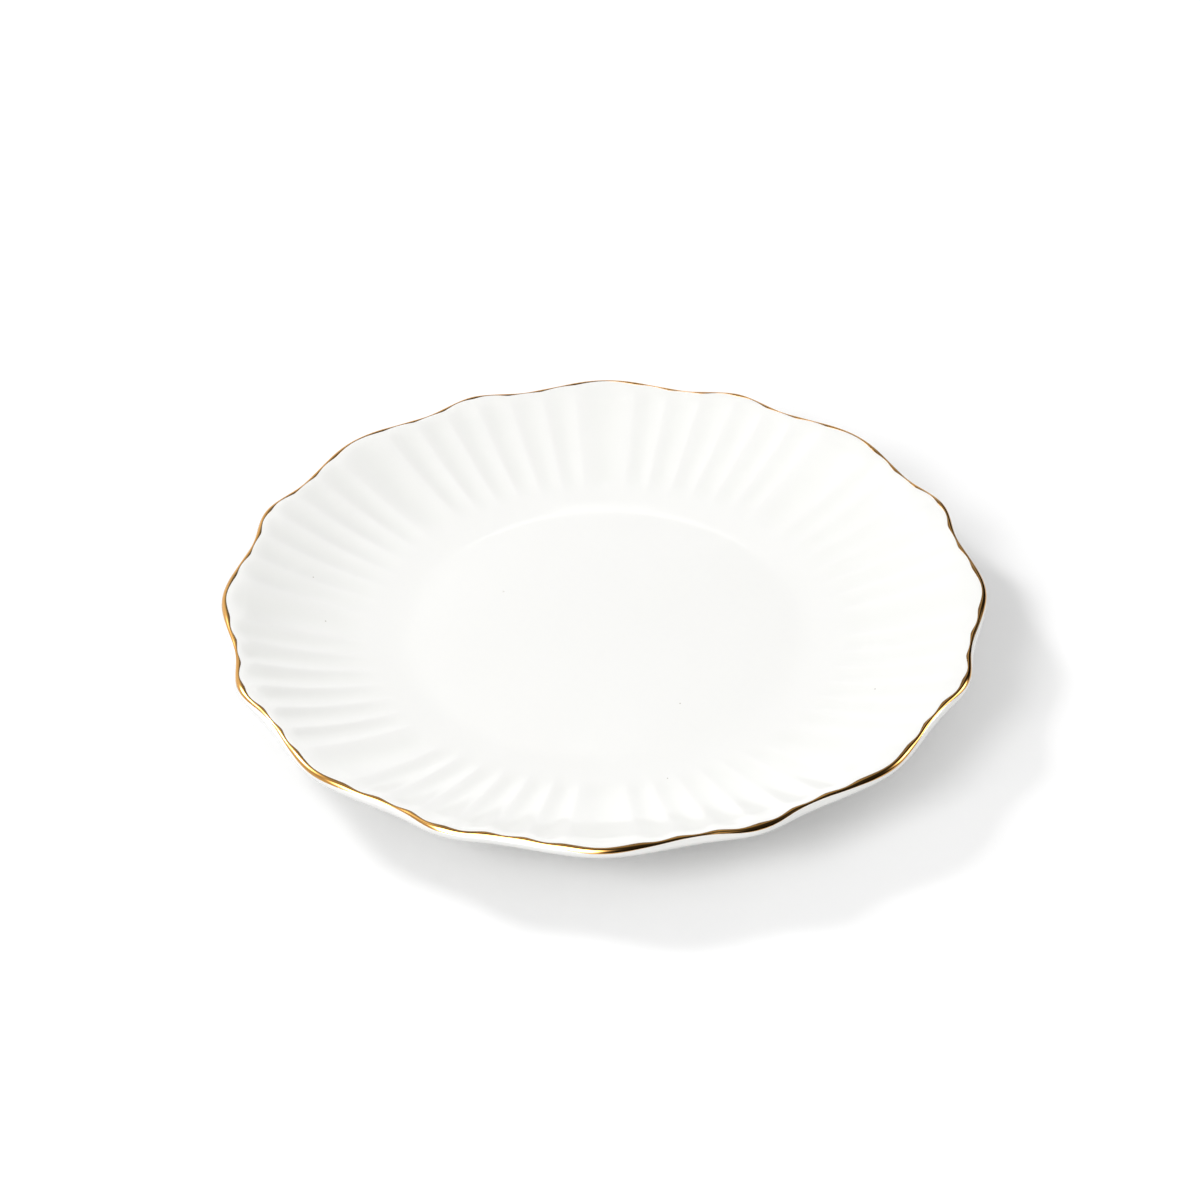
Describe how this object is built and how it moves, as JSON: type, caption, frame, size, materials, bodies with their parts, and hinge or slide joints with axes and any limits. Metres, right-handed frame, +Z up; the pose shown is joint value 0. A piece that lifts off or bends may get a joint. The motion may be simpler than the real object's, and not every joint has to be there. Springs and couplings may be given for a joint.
{
  "type": "scalloped dessert plate",
  "caption": "Round glazed porcelain dessert plate: flat well, fluted rim, scalloped lip edged with a thin gilt line, and a foot ring underneath to stand on.",
  "frame": {"origin": "centre of the plate's underside, on the surface that its foot ring stands on", "axes": "+Z up along the plate's axis; +X through the middle of a large lobe"},
  "size_m": [0.2, 0.2, 0.0205],
  "materials": {
    "porcelain": "clear glossy glaze over a white body",
    "foot": "bare fired porcelain on the standing edge, wiped free of glaze",
    "gilding": "burnished fired gold"
  },
  "bodies": {
    "root": {"porcelain_body": "porcelain", "foot_ring": "foot", "gilt_band": "gilding"}
  },
  "joints": []
}
